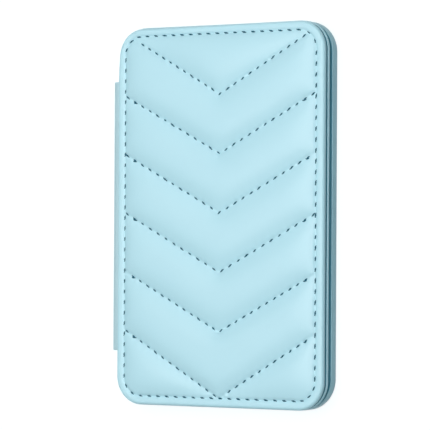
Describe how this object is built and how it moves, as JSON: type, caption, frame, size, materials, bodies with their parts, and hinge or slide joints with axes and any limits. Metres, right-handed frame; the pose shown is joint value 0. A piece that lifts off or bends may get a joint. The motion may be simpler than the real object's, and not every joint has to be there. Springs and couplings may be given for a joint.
{
  "type": "phone card holder",
  "caption": "Flat magnetic card holder for the back of a phone: padded, chevron-quilted flip cover on a leather spine, over a magnetic back panel with a card slot.",
  "frame": {"origin": "centre of the bottom of the whole box, lying on its back face with the cover up", "axes": "+X across the width, from the spine to the free edge; +Y up the long side, towards the picture's top; +Z out of the quilted cover"},
  "size_m": [0.0668, 0.1, 0.0083],
  "materials": {
    "quilted_leather": "pale aqua grained PU leather, satin, quilted over foam",
    "plain_leather": "pale aqua grained PU leather, satin",
    "lining": "short-pile microfibre lining",
    "board": "plain stiffener sheet",
    "foam": "open-cell foam",
    "magnet": "nickel-plated magnet",
    "shield_steel": "thin bare steel sheet"
  },
  "bodies": {
    "back_panel": {"back_skin": "plain_leather", "back_board": "board", "ring_magnet_01": "magnet", "ring_magnet_02": "magnet", "ring_magnet_03": "magnet", "ring_magnet_04": "magnet", "ring_magnet_05": "magnet", "ring_magnet_06": "magnet", "ring_magnet_07": "magnet", "ring_magnet_08": "magnet", "ring_magnet_09": "magnet", "ring_magnet_10": "magnet", "ring_magnet_11": "magnet", "ring_magnet_12": "magnet", "ring_magnet_13": "magnet", "ring_magnet_14": "magnet", "ring_magnet_15": "magnet", "ring_magnet_16": "magnet", "ring_magnet_17": "magnet", "ring_magnet_18": "magnet", "bar_magnet": "magnet", "back_clasp_magnet_1": "magnet", "back_clasp_magnet_2": "magnet", "shield_plate": "shield_steel", "slot_lining": "lining", "slot_rim": "plain_leather", "card_pocket": "plain_leather"},
    "spine": {"spine_strip": "plain_leather"},
    "cover": {"cover_skin": "quilted_leather", "cover_foam": "foam", "cover_board": "board", "cover_facing": "plain_leather", "cover_clasp_magnet_1": "magnet", "cover_clasp_magnet_2": "magnet"}
  },
  "joints": [
    {"name": "spine_fold", "type": "hinge", "parent": "back_panel", "child": "spine", "pos_m": [-0.0318, 0, 0.00072], "axis": [0, -1, 0], "range_deg": [0, 90]},
    {"name": "cover_fold", "type": "hinge", "parent": "spine", "child": "cover", "pos_m": [-0.0318, 0, 0.00592], "axis": [0, -1, 0], "range_deg": [0, 90]}
  ]
}
